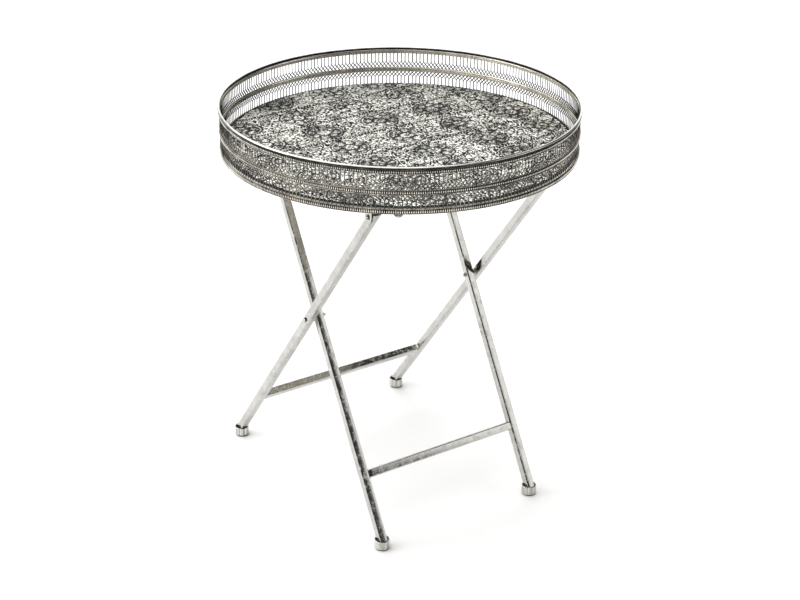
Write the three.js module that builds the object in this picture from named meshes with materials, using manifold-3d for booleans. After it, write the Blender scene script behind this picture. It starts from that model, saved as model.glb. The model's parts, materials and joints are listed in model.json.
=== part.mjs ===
// Round gallery tray on a folding X stand. Millimetres, +Z up.
// The origin is on the floor under the centre of the tray. The frames cross in planes parallel to XZ,
// so the crossing bolts, the stretchers and the top rails all run along Y.
import * as THREE from 'three';
import { mergeVertices } from 'three/addons/utils/BufferGeometryUtils.js';
import Module from 'manifold-3d';

const wasm = await Module();
wasm.setup();

// ---- driving dimensions ----
const GAP = 0.3; // clearance left between neighbouring pieces
const PIN_CLEARANCE = 0.4; // added to a pin's radius for the faceted hole around it

const TRAY_RADIUS = 250;
const RIM_BOTTOM = 530;
const RIM_TOP = 594;
const BOTTOM_BAND_HEIGHT = 7.3;
const MIDDLE_BAND_HEIGHT = 6.3;
const TOP_BAND_HEIGHT = 5.5;
const BEAD_RADIUS = 2;
const BAND_INNER_RADIUS = 246;
const BAND_OUTER_RADIUS = 249.4;
const GALLERY_INNER_RADIUS = 246.9;
const GALLERY_OUTER_RADIUS = 248.1;
const LOWER_GALLERY_TOP = 556.1;
const FLOOR_RADIUS = 244;
const FLOOR_TOP = 539;
const FLOOR_SHEET = 0.8;
const BASE_SHEET = 1.2;

const TUBE = 12; // outside of the square tube
const TUBE_WALL = 1.2;
const TUBE_CORNER = 2;

const CROSSING_X = -5.5;
const CROSSING_Z = 296.8;
const OUTER_LEAN = 37.35; // degrees from vertical, top towards +X
const INNER_LEAN = -30.6;
const OUTER_LEG_Y = 146.6;
const INNER_LEG_Y = 131.3;
const OUTER_STRETCHER_Z = 102;
const INNER_STRETCHER_Z = 95;

const RAIL_RIVET_Z = 514;
const RAIL_WIDTH = 16;
const RAIL_THICKNESS = 2;
const LEG_PAST_RIVET = 9;

const CUP_RADIUS = 10.8;
const CUP_HEIGHT = 15;
const CUP_RECESS = 2;
const CUP_RIM = 1;
const GLIDE_RADIUS = 9;
const GLIDE_HEIGHT = 1.7;

const BOLT_RADIUS = 2.2;
const BOLT_HEAD_RADIUS = 3.1;
const BOLT_HEAD_HEIGHT = 1.9;
const NUT_RADIUS = 3.3;
const NUT_HEIGHT = 5.5;
const WASHER_RADIUS = 5.5;
const RIVET_RADIUS = 2.5;
const RIVET_HEAD_RADIUS = 3.8;
const RIVET_HEAD_HEIGHT = 1.8;
const RIVET_TAIL_HEIGHT = 1.1;

const BUN_RADIUS = 7.5;
const BUN_BOTTOM = 522;
const BUN_CIRCLE = 237.5; // radius that the bun feet stand on
const BUN_FIRST_ANGLE = -34;

const STOP_Y = 80;
const STOP_LENGTH = 20;
const STOP_DROP = 8.5;
const STOP_LEAF = 14;
const STOP_THICKNESS = 2;
const STOP_GAP = 1; // the rail turns a little before the rising tray lifts its stop clear

const RING_SEGMENTS = 72;
const CUP_SEGMENTS = 20;
const SMALL_SEGMENTS = 12;

// ---- derived heights ----
const baseTop = FLOOR_TOP - FLOOR_SHEET - GAP;
const baseBottom = baseTop - BASE_SHEET;
const railTop = baseBottom - GAP;
const middleBandBottom = LOWER_GALLERY_TOP + GAP;
const upperGalleryBottom = middleBandBottom + MIDDLE_BAND_HEIGHT + GAP;
const beadCentre = RIM_TOP - BEAD_RADIUS;
const topBandTop = beadCentre - BEAD_RADIUS - GAP;
const upperGalleryTop = topBandTop - TOP_BAND_HEIGHT - GAP;

// ---- materials, one for each mesh ----
function metal(hex, roughness) {
  return () => new THREE.MeshStandardMaterial({ color: hex, metalness: 0.9, roughness });
}
const brightNickel = metal(0xd8d6d1, 0.16);
const polishedNickel = metal(0xc9c6c1, 0.24);
const antiqueNickel = metal(0x8b8780, 0.42);
const embossedNickel = metal(0x9a9893, 0.38);
const plainSteel = metal(0x77746f, 0.5);
const blackPlastic = () => new THREE.MeshStandardMaterial({ color: 0x1d1c1b, metalness: 0, roughness: 0.6 });

// ---- solids and booleans ----
function toSolid(geometry) {
  const bare = geometry.clone();
  bare.deleteAttribute('normal');
  bare.deleteAttribute('uv');
  const merged = mergeVertices(bare, 1e-4);
  const vertProperties = new Float32Array(merged.attributes.position.array);
  const triVerts = new Uint32Array(merged.index.array);
  return new wasm.Manifold(new wasm.Mesh({ numProp: 3, vertProperties, triVerts }));
}

function toGeometry(solid) {
  const mesh = solid.getMesh();
  const geometry = new THREE.BufferGeometry();
  geometry.setAttribute('position', new THREE.BufferAttribute(new Float32Array(mesh.vertProperties), 3));
  geometry.setIndex(new THREE.BufferAttribute(new Uint32Array(mesh.triVerts), 1));
  geometry.computeVertexNormals();
  return geometry;
}

function cut(geometry, ...cutters) {
  return toGeometry(cutters.reduce((left, cutter) => left.subtract(toSolid(cutter)), toSolid(geometry)));
}

// ---- shapes ----
// A profile of [radius, height] pairs turned about Z. It runs up the outside and down the inside.
function turned(profile, segments) {
  const points = profile.map(([radius, height]) => new THREE.Vector2(radius, height));
  return new THREE.LatheGeometry(points, segments).rotateX(Math.PI / 2);
}

// The same profile turned about Y, with its heights along +Y or -Y.
function turnedAlongY(profile, side) {
  return turned(profile, SMALL_SEGMENTS).rotateX(-side * Math.PI / 2);
}

function ring(inner, outer, bottom, top) {
  const profile = [[outer, bottom], [outer, top], [inner, top], [inner, bottom], [outer, bottom]];
  return turned(profile, RING_SEGMENTS);
}

// A moulding with a raised face and chamfered outer edges.
function ribbedBand(bottom, height) {
  const step = 0.9;
  const edge = BAND_OUTER_RADIUS - 0.7;
  const profile = [
    [edge, bottom],
    [BAND_OUTER_RADIUS, bottom + step],
    [BAND_OUTER_RADIUS, bottom + height - step],
    [edge, bottom + height],
    [BAND_INNER_RADIUS, bottom + height],
    [BAND_INNER_RADIUS, bottom],
    [edge, bottom],
  ];
  return turned(profile, RING_SEGMENTS);
}

function roundBead(centreRadius, beadRadius, height) {
  const sides = 8;
  const profile = [];
  for (let i = 0; i <= sides; i += 1) {
    const angle = (2 * Math.PI * (i % sides)) / sides;
    profile.push([centreRadius + beadRadius * Math.cos(angle), height + beadRadius * Math.sin(angle)]);
  }
  return turned(profile, RING_SEGMENTS);
}

function roundedSquare(side, corner) {
  const half = side / 2;
  const flat = half - corner;
  const shape = new THREE.Shape();
  shape.moveTo(half, -flat);
  shape.lineTo(half, flat);
  shape.absarc(flat, flat, corner, 0, Math.PI / 2, false);
  shape.absarc(-flat, flat, corner, Math.PI / 2, Math.PI, false);
  shape.absarc(-flat, -flat, corner, Math.PI, 1.5 * Math.PI, false);
  shape.absarc(flat, -flat, corner, 1.5 * Math.PI, 2 * Math.PI, false);
  return shape;
}

function extruded(shape, depth, curveSegments = 3) {
  return new THREE.ExtrudeGeometry(shape, { depth, bevelEnabled: false, curveSegments });
}

// Square tube with rounded corners, open at both ends, from z = low to z = high.
function squareTube(low, high) {
  const shape = roundedSquare(TUBE, TUBE_CORNER);
  shape.holes.push(roundedSquare(TUBE - 2 * TUBE_WALL, TUBE_CORNER - TUBE_WALL));
  return extruded(shape, high - low).translate(0, 0, low);
}

function drill(radius, height) {
  const length = 2 * TUBE;
  return new THREE.CylinderGeometry(radius, radius, length, SMALL_SEGMENTS).translate(0, 0, height);
}

// ---- scene graph ----
const table = new THREE.Group();

function add(parent, name, geometry, material) {
  const mesh = new THREE.Mesh(geometry, material());
  mesh.name = name;
  parent.add(mesh);
  return mesh;
}

const SIDES = [['front', -1], ['back', 1]];

// ---- tray ----
const tray = new THREE.Group();
table.add(tray);

function disc(radius, bottom, top) {
  return turned([[0, bottom], [radius, bottom], [radius, top], [0, top]], RING_SEGMENTS);
}

add(tray, 'base_disc', disc(BAND_INNER_RADIUS - GAP, baseBottom, baseTop), plainSteel);
add(tray, 'embossed_floor', disc(FLOOR_RADIUS, FLOOR_TOP - FLOOR_SHEET, FLOOR_TOP), embossedNickel);
add(tray, 'bottom_band', ribbedBand(RIM_BOTTOM, BOTTOM_BAND_HEIGHT), antiqueNickel);
add(
  tray,
  'lower_gallery',
  ring(GALLERY_INNER_RADIUS, GALLERY_OUTER_RADIUS, RIM_BOTTOM + BOTTOM_BAND_HEIGHT + GAP, LOWER_GALLERY_TOP),
  antiqueNickel,
);
add(tray, 'middle_band', ribbedBand(middleBandBottom, MIDDLE_BAND_HEIGHT), antiqueNickel);
add(
  tray,
  'upper_gallery',
  ring(GALLERY_INNER_RADIUS, GALLERY_OUTER_RADIUS, upperGalleryBottom, upperGalleryTop),
  antiqueNickel,
);
add(tray, 'top_band', ribbedBand(topBandTop - TOP_BAND_HEIGHT, TOP_BAND_HEIGHT), antiqueNickel);
add(tray, 'rim_bead', roundBead(TRAY_RADIUS - BEAD_RADIUS, BEAD_RADIUS, beadCentre), brightNickel);

function bunFoot() {
  const steps = 5;
  const domeHeight = 6;
  const profile = [];
  for (let i = 0; i <= steps; i += 1) {
    const angle = (Math.PI / 2) * (i / steps);
    profile.push([BUN_RADIUS * Math.sin(angle), BUN_BOTTOM + domeHeight * (1 - Math.cos(angle))]);
  }
  profile.push([BUN_RADIUS, baseBottom - GAP], [0, baseBottom - GAP]);
  return turned(profile, SMALL_SEGMENTS);
}

for (let i = 0; i < 4; i += 1) {
  const angle = THREE.MathUtils.degToRad(BUN_FIRST_ANGLE + 90 * i);
  const foot = add(tray, `tray_foot_${i + 1}`, bunFoot(), polishedNickel);
  foot.position.set(BUN_CIRCLE * Math.cos(angle), BUN_CIRCLE * Math.sin(angle), 0);
}

// ---- frames ----
// Each frame is a group at the crossing bolts, leaning about Y, so that its legs run along its own Z.
function frameGroup(leanDegrees) {
  const group = new THREE.Group();
  group.position.set(CROSSING_X, 0, CROSSING_Z);
  group.rotation.y = THREE.MathUtils.degToRad(leanDegrees);
  table.add(group);
  const lean = THREE.MathUtils.degToRad(leanDegrees);
  // distance along the leg, up from the crossing, at which its centre line reaches a height
  const reach = (height) => (height - CROSSING_Z) / Math.cos(lean);
  const worldX = (height) => CROSSING_X + (height - CROSSING_Z) * Math.tan(lean);
  return { group, lean, reach, worldX };
}

const outer = { ...frameGroup(OUTER_LEAN), legY: OUTER_LEG_Y, name: 'outer' };
const inner = { ...frameGroup(INNER_LEAN), legY: INNER_LEG_Y, name: 'inner' };

const legCutHeight = CUP_HEIGHT - CUP_RECESS + GAP;
const cupCentreHeight = CUP_HEIGHT - CUP_RECESS / 2;

// A leg is cut level with the floor at its foot and square at its top, and is drilled for bolt and rivet.
function leg(frame) {
  const rivetAt = frame.reach(RAIL_RIVET_Z);
  const spare = 2 * TUBE;
  const low = frame.reach(legCutHeight) - spare;
  const tube = squareTube(low, rivetAt + LEG_PAST_RIVET);
  const belowFoot = new THREE.BoxGeometry(8 * TUBE, 8 * TUBE, 8 * TUBE)
    .translate(0, 0, -4 * TUBE)
    .rotateY(-frame.lean)
    .translate(0, 0, frame.reach(legCutHeight));
  const boltHole = drill(BOLT_RADIUS + PIN_CLEARANCE, 0);
  const rivetHole = drill(RIVET_RADIUS + PIN_CLEARANCE, rivetAt);
  return cut(tube, belowFoot, boltHole, rivetHole);
}

// The plug's plate covers the end of the tube and its stub fills the bore.
function endPlug() {
  const plate = 1.5;
  const stub = 2.5;
  const boreSide = TUBE - 2 * TUBE_WALL - 2 * GAP;
  const platePart = extruded(roundedSquare(TUBE, TUBE_CORNER), plate).translate(0, 0, GAP);
  const stubPart = extruded(roundedSquare(boreSide, 0.6), stub + plate).translate(0, 0, -stub);
  return toGeometry(toSolid(platePart).add(toSolid(stubPart)));
}

// The cup has a shallow round recess that the slanted leg stands in.
function footCup() {
  const bottom = GLIDE_HEIGHT + GAP;
  const edge = 0.6;
  const recessFloor = CUP_HEIGHT - CUP_RECESS;
  const profile = [
    [0, bottom],
    [CUP_RADIUS - edge, bottom],
    [CUP_RADIUS, bottom + edge],
    [CUP_RADIUS, CUP_HEIGHT - edge / 2],
    [CUP_RADIUS - edge / 2, CUP_HEIGHT],
    [CUP_RADIUS - CUP_RIM, CUP_HEIGHT],
    [CUP_RADIUS - CUP_RIM, recessFloor],
    [0, recessFloor],
  ];
  return turned(profile, CUP_SEGMENTS);
}

function glide() {
  return turned([[0, 0], [GLIDE_RADIUS, 0], [GLIDE_RADIUS, GLIDE_HEIGHT], [0, GLIDE_HEIGHT]], CUP_SEGMENTS);
}

function buildFrame(frame, stretcherHeight) {
  for (const [side, sign] of SIDES) {
    const y = sign * frame.legY;
    const top = frame.reach(RAIL_RIVET_Z) + LEG_PAST_RIVET;
    add(frame.group, `${frame.name}_leg_${side}`, leg(frame), polishedNickel).position.y = y;
    add(frame.group, `${frame.name}_plug_${side}`, endPlug(), blackPlastic).position.set(0, y, top);
    const footX = frame.worldX(cupCentreHeight);
    add(table, `${frame.name}_foot_cup_${side}`, footCup(), polishedNickel).position.set(footX, y, 0);
    add(table, `${frame.name}_glide_${side}`, glide(), blackPlastic).position.set(footX, y, 0);
  }
  const length = 2 * (frame.legY - TUBE / 2 - GAP);
  const stretcher = squareTube(-length / 2, length / 2).rotateX(Math.PI / 2);
  const mesh = add(frame.group, `${frame.name}_stretcher`, stretcher, polishedNickel);
  mesh.position.z = frame.reach(stretcherHeight);
}

buildFrame(outer, OUTER_STRETCHER_Z);
buildFrame(inner, INNER_STRETCHER_Z);

// ---- crossing bolts, spacer washers and nuts ----
const boltHeadSeat = OUTER_LEG_Y + TUBE / 2 + GAP;
const nutSeat = INNER_LEG_Y - TUBE / 2 - GAP;
const nutBoreDepth = 3.6;

// Heights run outwards from the middle of the table.
const boltProfile = [
  [0, nutSeat - nutBoreDepth + GAP],
  [BOLT_RADIUS, nutSeat - nutBoreDepth + GAP],
  [BOLT_RADIUS, boltHeadSeat],
  [BOLT_HEAD_RADIUS, boltHeadSeat],
  [BOLT_HEAD_RADIUS, boltHeadSeat + BOLT_HEAD_HEIGHT * 0.3],
  [BOLT_HEAD_RADIUS * 0.72, boltHeadSeat + BOLT_HEAD_HEIGHT * 0.82],
  [0, boltHeadSeat + BOLT_HEAD_HEIGHT],
];

const nutBore = BOLT_RADIUS + GAP;
const nutProfile = [
  [0, nutSeat - NUT_HEIGHT],
  [NUT_RADIUS * 0.6, nutSeat - NUT_HEIGHT * 0.9],
  [NUT_RADIUS, nutSeat - NUT_HEIGHT * 0.6],
  [NUT_RADIUS, nutSeat],
  [nutBore, nutSeat],
  [nutBore, nutSeat - nutBoreDepth],
  [0, nutSeat - nutBoreDepth],
];

const washerInner = INNER_LEG_Y + TUBE / 2 + GAP;
const washerOuter = OUTER_LEG_Y - TUBE / 2 - GAP;
const washerProfile = [
  [WASHER_RADIUS, washerInner],
  [WASHER_RADIUS, washerOuter],
  [BOLT_RADIUS + GAP, washerOuter],
  [BOLT_RADIUS + GAP, washerInner],
  [WASHER_RADIUS, washerInner],
];

for (const [side, sign] of SIDES) {
  add(outer.group, `crossing_bolt_${side}`, turnedAlongY(boltProfile, sign), brightNickel);
  add(outer.group, `crossing_nut_${side}`, turnedAlongY(nutProfile, sign), brightNickel);
  add(outer.group, `crossing_washer_${side}`, turnedAlongY(washerProfile, sign), plainSteel);
}

// ---- top rails ----
// A rail is a flat bar whose ends turn down into round ears. Its group stands at the rivets' axis.
const railRise = railTop - RAIL_RIVET_Z;

function rail(earOutside) {
  const half = RAIL_WIDTH / 2;
  const ear = new THREE.Shape();
  ear.moveTo(half, 0);
  ear.lineTo(half, railRise);
  ear.lineTo(-half, railRise);
  ear.lineTo(-half, 0);
  ear.absarc(0, 0, half, Math.PI, 2 * Math.PI, false);
  const hole = new THREE.Path();
  hole.absarc(0, 0, RIVET_RADIUS + PIN_CLEARANCE, 0, 2 * Math.PI, true);
  ear.holes.push(hole);
  const plate = extruded(ear, RAIL_THICKNESS, 8).rotateX(Math.PI / 2);
  const front = plate.clone().translate(0, -earOutside + RAIL_THICKNESS, 0);
  const back = plate.clone().translate(0, earOutside, 0);
  const bar = new THREE.BoxGeometry(RAIL_WIDTH, 2 * earOutside, RAIL_THICKNESS);
  bar.translate(0, 0, railRise - RAIL_THICKNESS / 2);
  return toGeometry(toSolid(bar).add(toSolid(front)).add(toSolid(back)));
}

const outerEar = OUTER_LEG_Y + TUBE / 2 + GAP + RAIL_THICKNESS;
const innerEar = INNER_LEG_Y - TUBE / 2 - GAP;
for (const [frame, ear] of [[outer, outerEar], [inner, innerEar]]) {
  const mesh = add(table, `${frame.name}_rail`, rail(ear), polishedNickel);
  mesh.position.set(frame.worldX(RAIL_RIVET_Z), 0, RAIL_RIVET_Z);
}

// A rivet's head lies on the ear and its tail on the far side of the leg.
function rivetProfile(headSeat, tailSeat) {
  const out = Math.sign(headSeat - tailSeat);
  const profile = [
    [0, tailSeat - out * RIVET_TAIL_HEIGHT],
    [RIVET_HEAD_RADIUS * 0.8, tailSeat - out * RIVET_TAIL_HEIGHT * 0.7],
    [RIVET_HEAD_RADIUS * 0.8, tailSeat],
    [RIVET_RADIUS, tailSeat],
    [RIVET_RADIUS, headSeat],
    [RIVET_HEAD_RADIUS, headSeat],
    [RIVET_HEAD_RADIUS, headSeat + out * RIVET_HEAD_HEIGHT * 0.35],
    [RIVET_HEAD_RADIUS * 0.68, headSeat + out * RIVET_HEAD_HEIGHT * 0.85],
    [0, headSeat + out * RIVET_HEAD_HEIGHT],
  ];
  return out > 0 ? profile : profile.reverse();
}

const outerRivet = rivetProfile(outerEar + GAP, OUTER_LEG_Y - TUBE / 2 - GAP);
const innerRivet = rivetProfile(innerEar - RAIL_THICKNESS - GAP, INNER_LEG_Y + TUBE / 2 + GAP);
for (const [frame, profile] of [[outer, outerRivet], [inner, innerRivet]]) {
  for (const [side, sign] of SIDES) {
    const shape = turnedAlongY(profile, sign);
    const mesh = add(frame.group, `${frame.name}_rail_rivet_${side}`, shape, brightNickel);
    mesh.position.z = frame.reach(RAIL_RIVET_Z);
  }
}

// ---- stops under the tray, just outside the rails ----
function railStop(direction) {
  const shape = new THREE.Shape();
  const top = baseBottom - GAP;
  shape.moveTo(0, top);
  shape.lineTo(0, top - STOP_DROP);
  shape.lineTo(direction * STOP_THICKNESS, top - STOP_DROP);
  shape.lineTo(direction * STOP_THICKNESS, top - STOP_THICKNESS);
  shape.lineTo(direction * STOP_LEAF, top - STOP_THICKNESS);
  shape.lineTo(direction * STOP_LEAF, top);
  shape.closePath();
  return extruded(shape, STOP_LENGTH).rotateX(Math.PI / 2).translate(0, STOP_LENGTH / 2, 0);
}

for (const [frame, direction] of [[outer, 1], [inner, -1]]) {
  const x = frame.worldX(RAIL_RIVET_Z) + direction * (RAIL_WIDTH / 2 + STOP_GAP);
  for (const [side, sign] of SIDES) {
    const mesh = add(tray, `${frame.name}_rail_stop_${side}`, railStop(direction), plainSteel);
    mesh.position.set(x, sign * STOP_Y, 0);
  }
}

export default table;
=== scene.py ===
import json
import math

import bpy
import numpy as np
from mathutils import Matrix, Vector


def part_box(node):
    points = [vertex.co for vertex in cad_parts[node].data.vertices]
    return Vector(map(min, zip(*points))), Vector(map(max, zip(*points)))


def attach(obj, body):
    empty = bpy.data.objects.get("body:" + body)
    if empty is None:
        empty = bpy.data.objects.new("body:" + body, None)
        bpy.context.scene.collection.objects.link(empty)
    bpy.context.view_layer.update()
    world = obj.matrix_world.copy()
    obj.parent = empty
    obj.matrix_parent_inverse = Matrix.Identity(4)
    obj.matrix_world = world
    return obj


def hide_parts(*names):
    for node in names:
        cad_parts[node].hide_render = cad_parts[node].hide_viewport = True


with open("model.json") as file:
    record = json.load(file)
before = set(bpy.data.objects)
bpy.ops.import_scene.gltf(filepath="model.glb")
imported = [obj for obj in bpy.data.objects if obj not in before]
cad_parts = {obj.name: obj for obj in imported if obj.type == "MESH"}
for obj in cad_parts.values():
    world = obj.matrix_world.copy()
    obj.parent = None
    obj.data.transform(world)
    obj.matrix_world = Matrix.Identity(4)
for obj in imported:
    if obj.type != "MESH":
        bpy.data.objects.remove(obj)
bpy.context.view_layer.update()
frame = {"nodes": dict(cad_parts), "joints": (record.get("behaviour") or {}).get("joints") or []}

MM = 0.001

# ---- driving dimensions, in millimetres ----
BARS = 274  # upright bars in each tier of the gallery
BAR_WIDTH = 1.6
BAR_DEPTH = 1.0
LATTICE_WIDTH = 1.15
LATTICE_DEPTH = 0.75
LATTICE_OUTWARDS = 0.08  # the second diagonals stand a little proud of the first
LATTICE_SHARE = 0.43  # of a tier's height
LATTICE_REACH = 1.45  # bar pitches that a diagonal runs sideways
GALLERY_INNER_RADIUS = 246.9
STRIP_END = 1.0  # length at each end of a strip that the bands hide

RIBS_PER_BAR = 2
SAMPLES_PER_RIB = 6
RIB_DEPTH = 1.5
RIB_FALL = 1.6  # power that narrows a rib's crest
BAND_EDGE = 1.1  # height of the plain bead above and below the ribs
BAND_INNER_RADIUS = 246.4
BOTTOM_SCALLOP = 0.7

FLOOR_RADIUS = 245.6
FLOOR_BORDER = 3.6  # flat edge round the relief
RELIEF_DEPTH = 1.5
RELIEF_STEP = 0.85  # mesh size of the embossed floor
PANEL_WIDTH = 70  # repeat of the embossed pattern along X
PANEL_LENGTH = 92  # and along Y
PANEL_SHIFT = (-7, 16)  # where the middle of one panel lies
MEDALLION_RADIUS = 25.5
ROSETTE_RADIUS = 13

TUBE_CORNER = 2
TUBE_WALL = 1.2
TUBE_END_EDGE = 0.35  # small bevel at a tube's ends
BORE_DEPTH = 5
LEG_PAST_RIVET = 9
TUBE_STATIONS = 40
GRAIN_STRETCH = 0.04  # how much the plate's draw lines are drawn out along a tube
STRETCHER_INTO_LEG = 0.25
WELD_SIZE = 2.2
WELD_SUNK = 0.3
WELD_INSET = 0.8  # a weld stops this far from the tube's corners
WELD_STATIONS = 24
WELD_SEED = 40
CUP_LIP = 1.0
CUP_RECESS = 2.0
RAIL_THICKNESS = 2.0
RAIL_BEND = 3.0

# ---- studio ----
CAMERA_PLACE = (1752.5, -1178.75, 1324)
CAMERA_TARGET = (5.5, 0, 292)
CAMERA_ROLL = 0.012
CAMERA_LENS = 72.7
SENSOR_WIDTH = 36
FLOOR_HALF_SIZE = 12  # metres
DOME_TOWARDS = (-0.25, -0.43, 0.87)
DOME_SPREAD = 105  # degrees
DOME_STRENGTH = 3.75
WORLD_STRENGTH = 0.05
# Each panel's place, what it faces, its width and height, all in metres, and its power in watts.
PANELS = {
    "back_panel": ((-2.9, 1.9, 1.6), (0, 0, 0.55), (4.8, 2.6), 62),
    "left_panel": ((-1.2, -2.6, 1.6), (0, 0, 0.4), (1.6, 1.2), 25),
    "right_panel": ((2.05, 2.25, 1.15), (0, 0, 0.3), (1.9, 2.4), 21),
}


def joint_place(name):
    """Where a joint's axis passes, in millimetres."""
    joint = next(j for j in frame["joints"] if j["name"] == name)
    return Vector(joint["pos_m"]) / MM


def box_mm(node):
    low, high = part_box(node)
    return low / MM, high / MM


FRAMES = ("outer", "inner")
SIDES = ("front", "back")
crossing = joint_place("frame_fold")
rail_rivets = {which: joint_place(f"{which}_rail_swivel") for which in FRAMES}


# =====================================================================================================
# Materials
# =====================================================================================================
class Shader:
    """A Principled material and short calls that add nodes to it."""

    def __init__(self, name, colour, metallic, roughness):
        self.material = bpy.data.materials.new(name)
        self.material.use_nodes = True
        self.tree = self.material.node_tree
        self.principled = self.tree.nodes["Principled BSDF"]
        self.principled.inputs["Base Color"].default_value = (*colour, 1)
        self.principled.inputs["Metallic"].default_value = metallic
        self.principled.inputs["Roughness"].default_value = roughness

    def node(self, kind, inputs, **settings):
        made = self.tree.nodes.new(kind)
        for key, value in settings.items():
            setattr(made, key, value)
        for key, value in inputs.items():
            if isinstance(value, bpy.types.NodeSocket):
                self.tree.links.new(value, made.inputs[key])
            else:
                made.inputs[key].default_value = value
        return made

    def place(self):
        return self.node("ShaderNodeTexCoord", {}).outputs["Object"]

    def attribute(self, name):
        return self.node("ShaderNodeAttribute", {}, attribute_name=name)

    def noise(self, scale, detail=3.0, roughness=0.5, vector=None):
        place = vector or self.place()
        inputs = {"Vector": place, "Scale": scale, "Detail": detail, "Roughness": roughness}
        return self.node("ShaderNodeTexNoise", inputs).outputs["Fac"]

    def rescale(self, value, low, high, to_low=0.0, to_high=1.0):
        inputs = {"Value": value, "From Min": low, "From Max": high}
        inputs |= {"To Min": to_low, "To Max": to_high}
        return self.node("ShaderNodeMapRange", inputs).outputs["Result"]

    def math(self, operation, *values):
        return self.node("ShaderNodeMath", dict(enumerate(values)), operation=operation).outputs[0]

    def mix(self, share, first, second):
        made = self.node("ShaderNodeMix", {0: share}, data_type="RGBA")
        for key, value in ((6, first), (7, second)):
            if isinstance(value, bpy.types.NodeSocket):
                self.tree.links.new(value, made.inputs[key])
            else:
                made.inputs[key].default_value = (*value, 1)
        return made.outputs[2]

    def ramp(self, value, stops):
        made = self.node("ShaderNodeValToRGB", {"Fac": value})
        elements = made.color_ramp.elements
        while len(elements) < len(stops):
            elements.new(0.5)
        for element, (position, colour) in zip(elements, stops):
            element.position = position
            element.color = (*colour, 1)
        return made.outputs["Color"]

    def bump(self, height, distance, strength=1.0, after=None):
        inputs = {"Height": height, "Distance": distance, "Strength": strength}
        if after is not None:
            inputs["Normal"] = after
        return self.node("ShaderNodeBump", inputs).outputs["Normal"]

    def finish(self, colour=None, roughness=None, normal=None):
        for key, value in (("Base Color", colour), ("Roughness", roughness), ("Normal", normal)):
            if value is not None:
                self.tree.links.new(value, self.principled.inputs[key])
        return self.material


def grey(value, warmth=0.0, yellow=0.0):
    """A grey tinted towards red by warmth and away from blue by both."""
    return (value * (1 + warmth), value, value * (1 - warmth - yellow))


def polished_tube_material():
    """Nickel plate on square tube: cloudy, with draw lines along the tube and a scatter of scuffs."""
    shader = Shader("polished_nickel_tube", grey(0.5, 0.02, 0.025), 1.0, 0.15)
    along = shader.attribute("grain").outputs["Vector"]
    clouds = shader.noise(30, 5, 0.6)
    patches = shader.noise(110, 4, 0.6)
    specks = shader.noise(900, 3, 0.7)
    draw_lines = shader.noise(900, 2, 0.5, along)
    cloudy = shader.rescale(clouds, 0.36, 0.64)
    tone = shader.mix(cloudy, grey(0.4, 0.02, 0.03), grey(0.53, 0.02, 0.03))
    dull = shader.mix(shader.rescale(patches, 0.55, 0.75, 0.0, 0.6), tone, grey(0.31, 0.025, 0.035))
    lined = shader.mix(shader.rescale(draw_lines, 0.3, 0.75, 0.0, 0.3), dull, grey(0.6, 0.02, 0.02))
    scuffed = shader.rescale(shader.math("MULTIPLY", specks, patches), 0.29, 0.36)
    colour = shader.mix(scuffed, lined, grey(0.72, 0.02, 0.02))
    shine = shader.rescale(shader.math("ADD", clouds, patches), 0.75, 1.3, 0.1, 0.26)
    shine = shader.math("MULTIPLY_ADD", scuffed, 0.4, shine)
    waves = shader.bump(shader.noise(60, 2), 0.0002, 0.3)
    grain = shader.bump(draw_lines, 0.00003, 0.5, waves)
    return shader.finish(colour, shine, shader.bump(specks, 0.00002, 0.6, grain))


def turned_nickel_material():
    """Plate on the foot cups: upright streaks of painted reflection, and painted shade in the recess
    inside the lip and along the foot.
    """
    shader = Shader("turned_nickel", grey(0.5, 0.03, 0.04), 1.0, 0.18)
    upright = shader.attribute("grain").outputs["Vector"]
    relief = shader.attribute("relief").outputs["Fac"]
    # painted reflection: light and dark streaks running up the cup
    streaks = shader.noise(330, 3, 0.6, upright)
    clouds = shader.noise(160, 4, 0.6)
    streaked = shader.rescale(streaks, 0.38, 0.62)
    tone = shader.mix(streaked, grey(0.3, 0.05, 0.06), grey(0.74, 0.02, 0.03))
    worn = shader.mix(shader.rescale(clouds, 0.5, 0.75, 0.0, 0.5), tone, grey(0.4, 0.04, 0.05))
    # painted shade: near black in the recess where the leg stands and at the foot
    with_painted_shade = shader.mix(shader.rescale(relief, 0.1, 0.8), grey(0.04, 0.1, 0.1), worn)
    shine = shader.rescale(clouds, 0.35, 0.7, 0.1, 0.3)
    return shader.finish(with_painted_shade, shine, shader.bump(streaks, 0.00004, 0.6))


def polished_nickel_material():
    """Ground plate on the welds, cloudier."""
    shader = Shader("polished_nickel", grey(0.5, 0.02, 0.03), 1.0, 0.2)
    clouds = shader.noise(110, 4, 0.6)
    cloudy = shader.rescale(clouds, 0.38, 0.66)
    tone = shader.mix(cloudy, grey(0.56, 0.02, 0.03), grey(0.28, 0.03, 0.04))
    shine = shader.rescale(clouds, 0.35, 0.7, 0.14, 0.38)
    ripple = shader.bump(shader.noise(420, 3), 0.00006, 0.6)
    return shader.finish(tone, shine, ripple)


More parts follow.
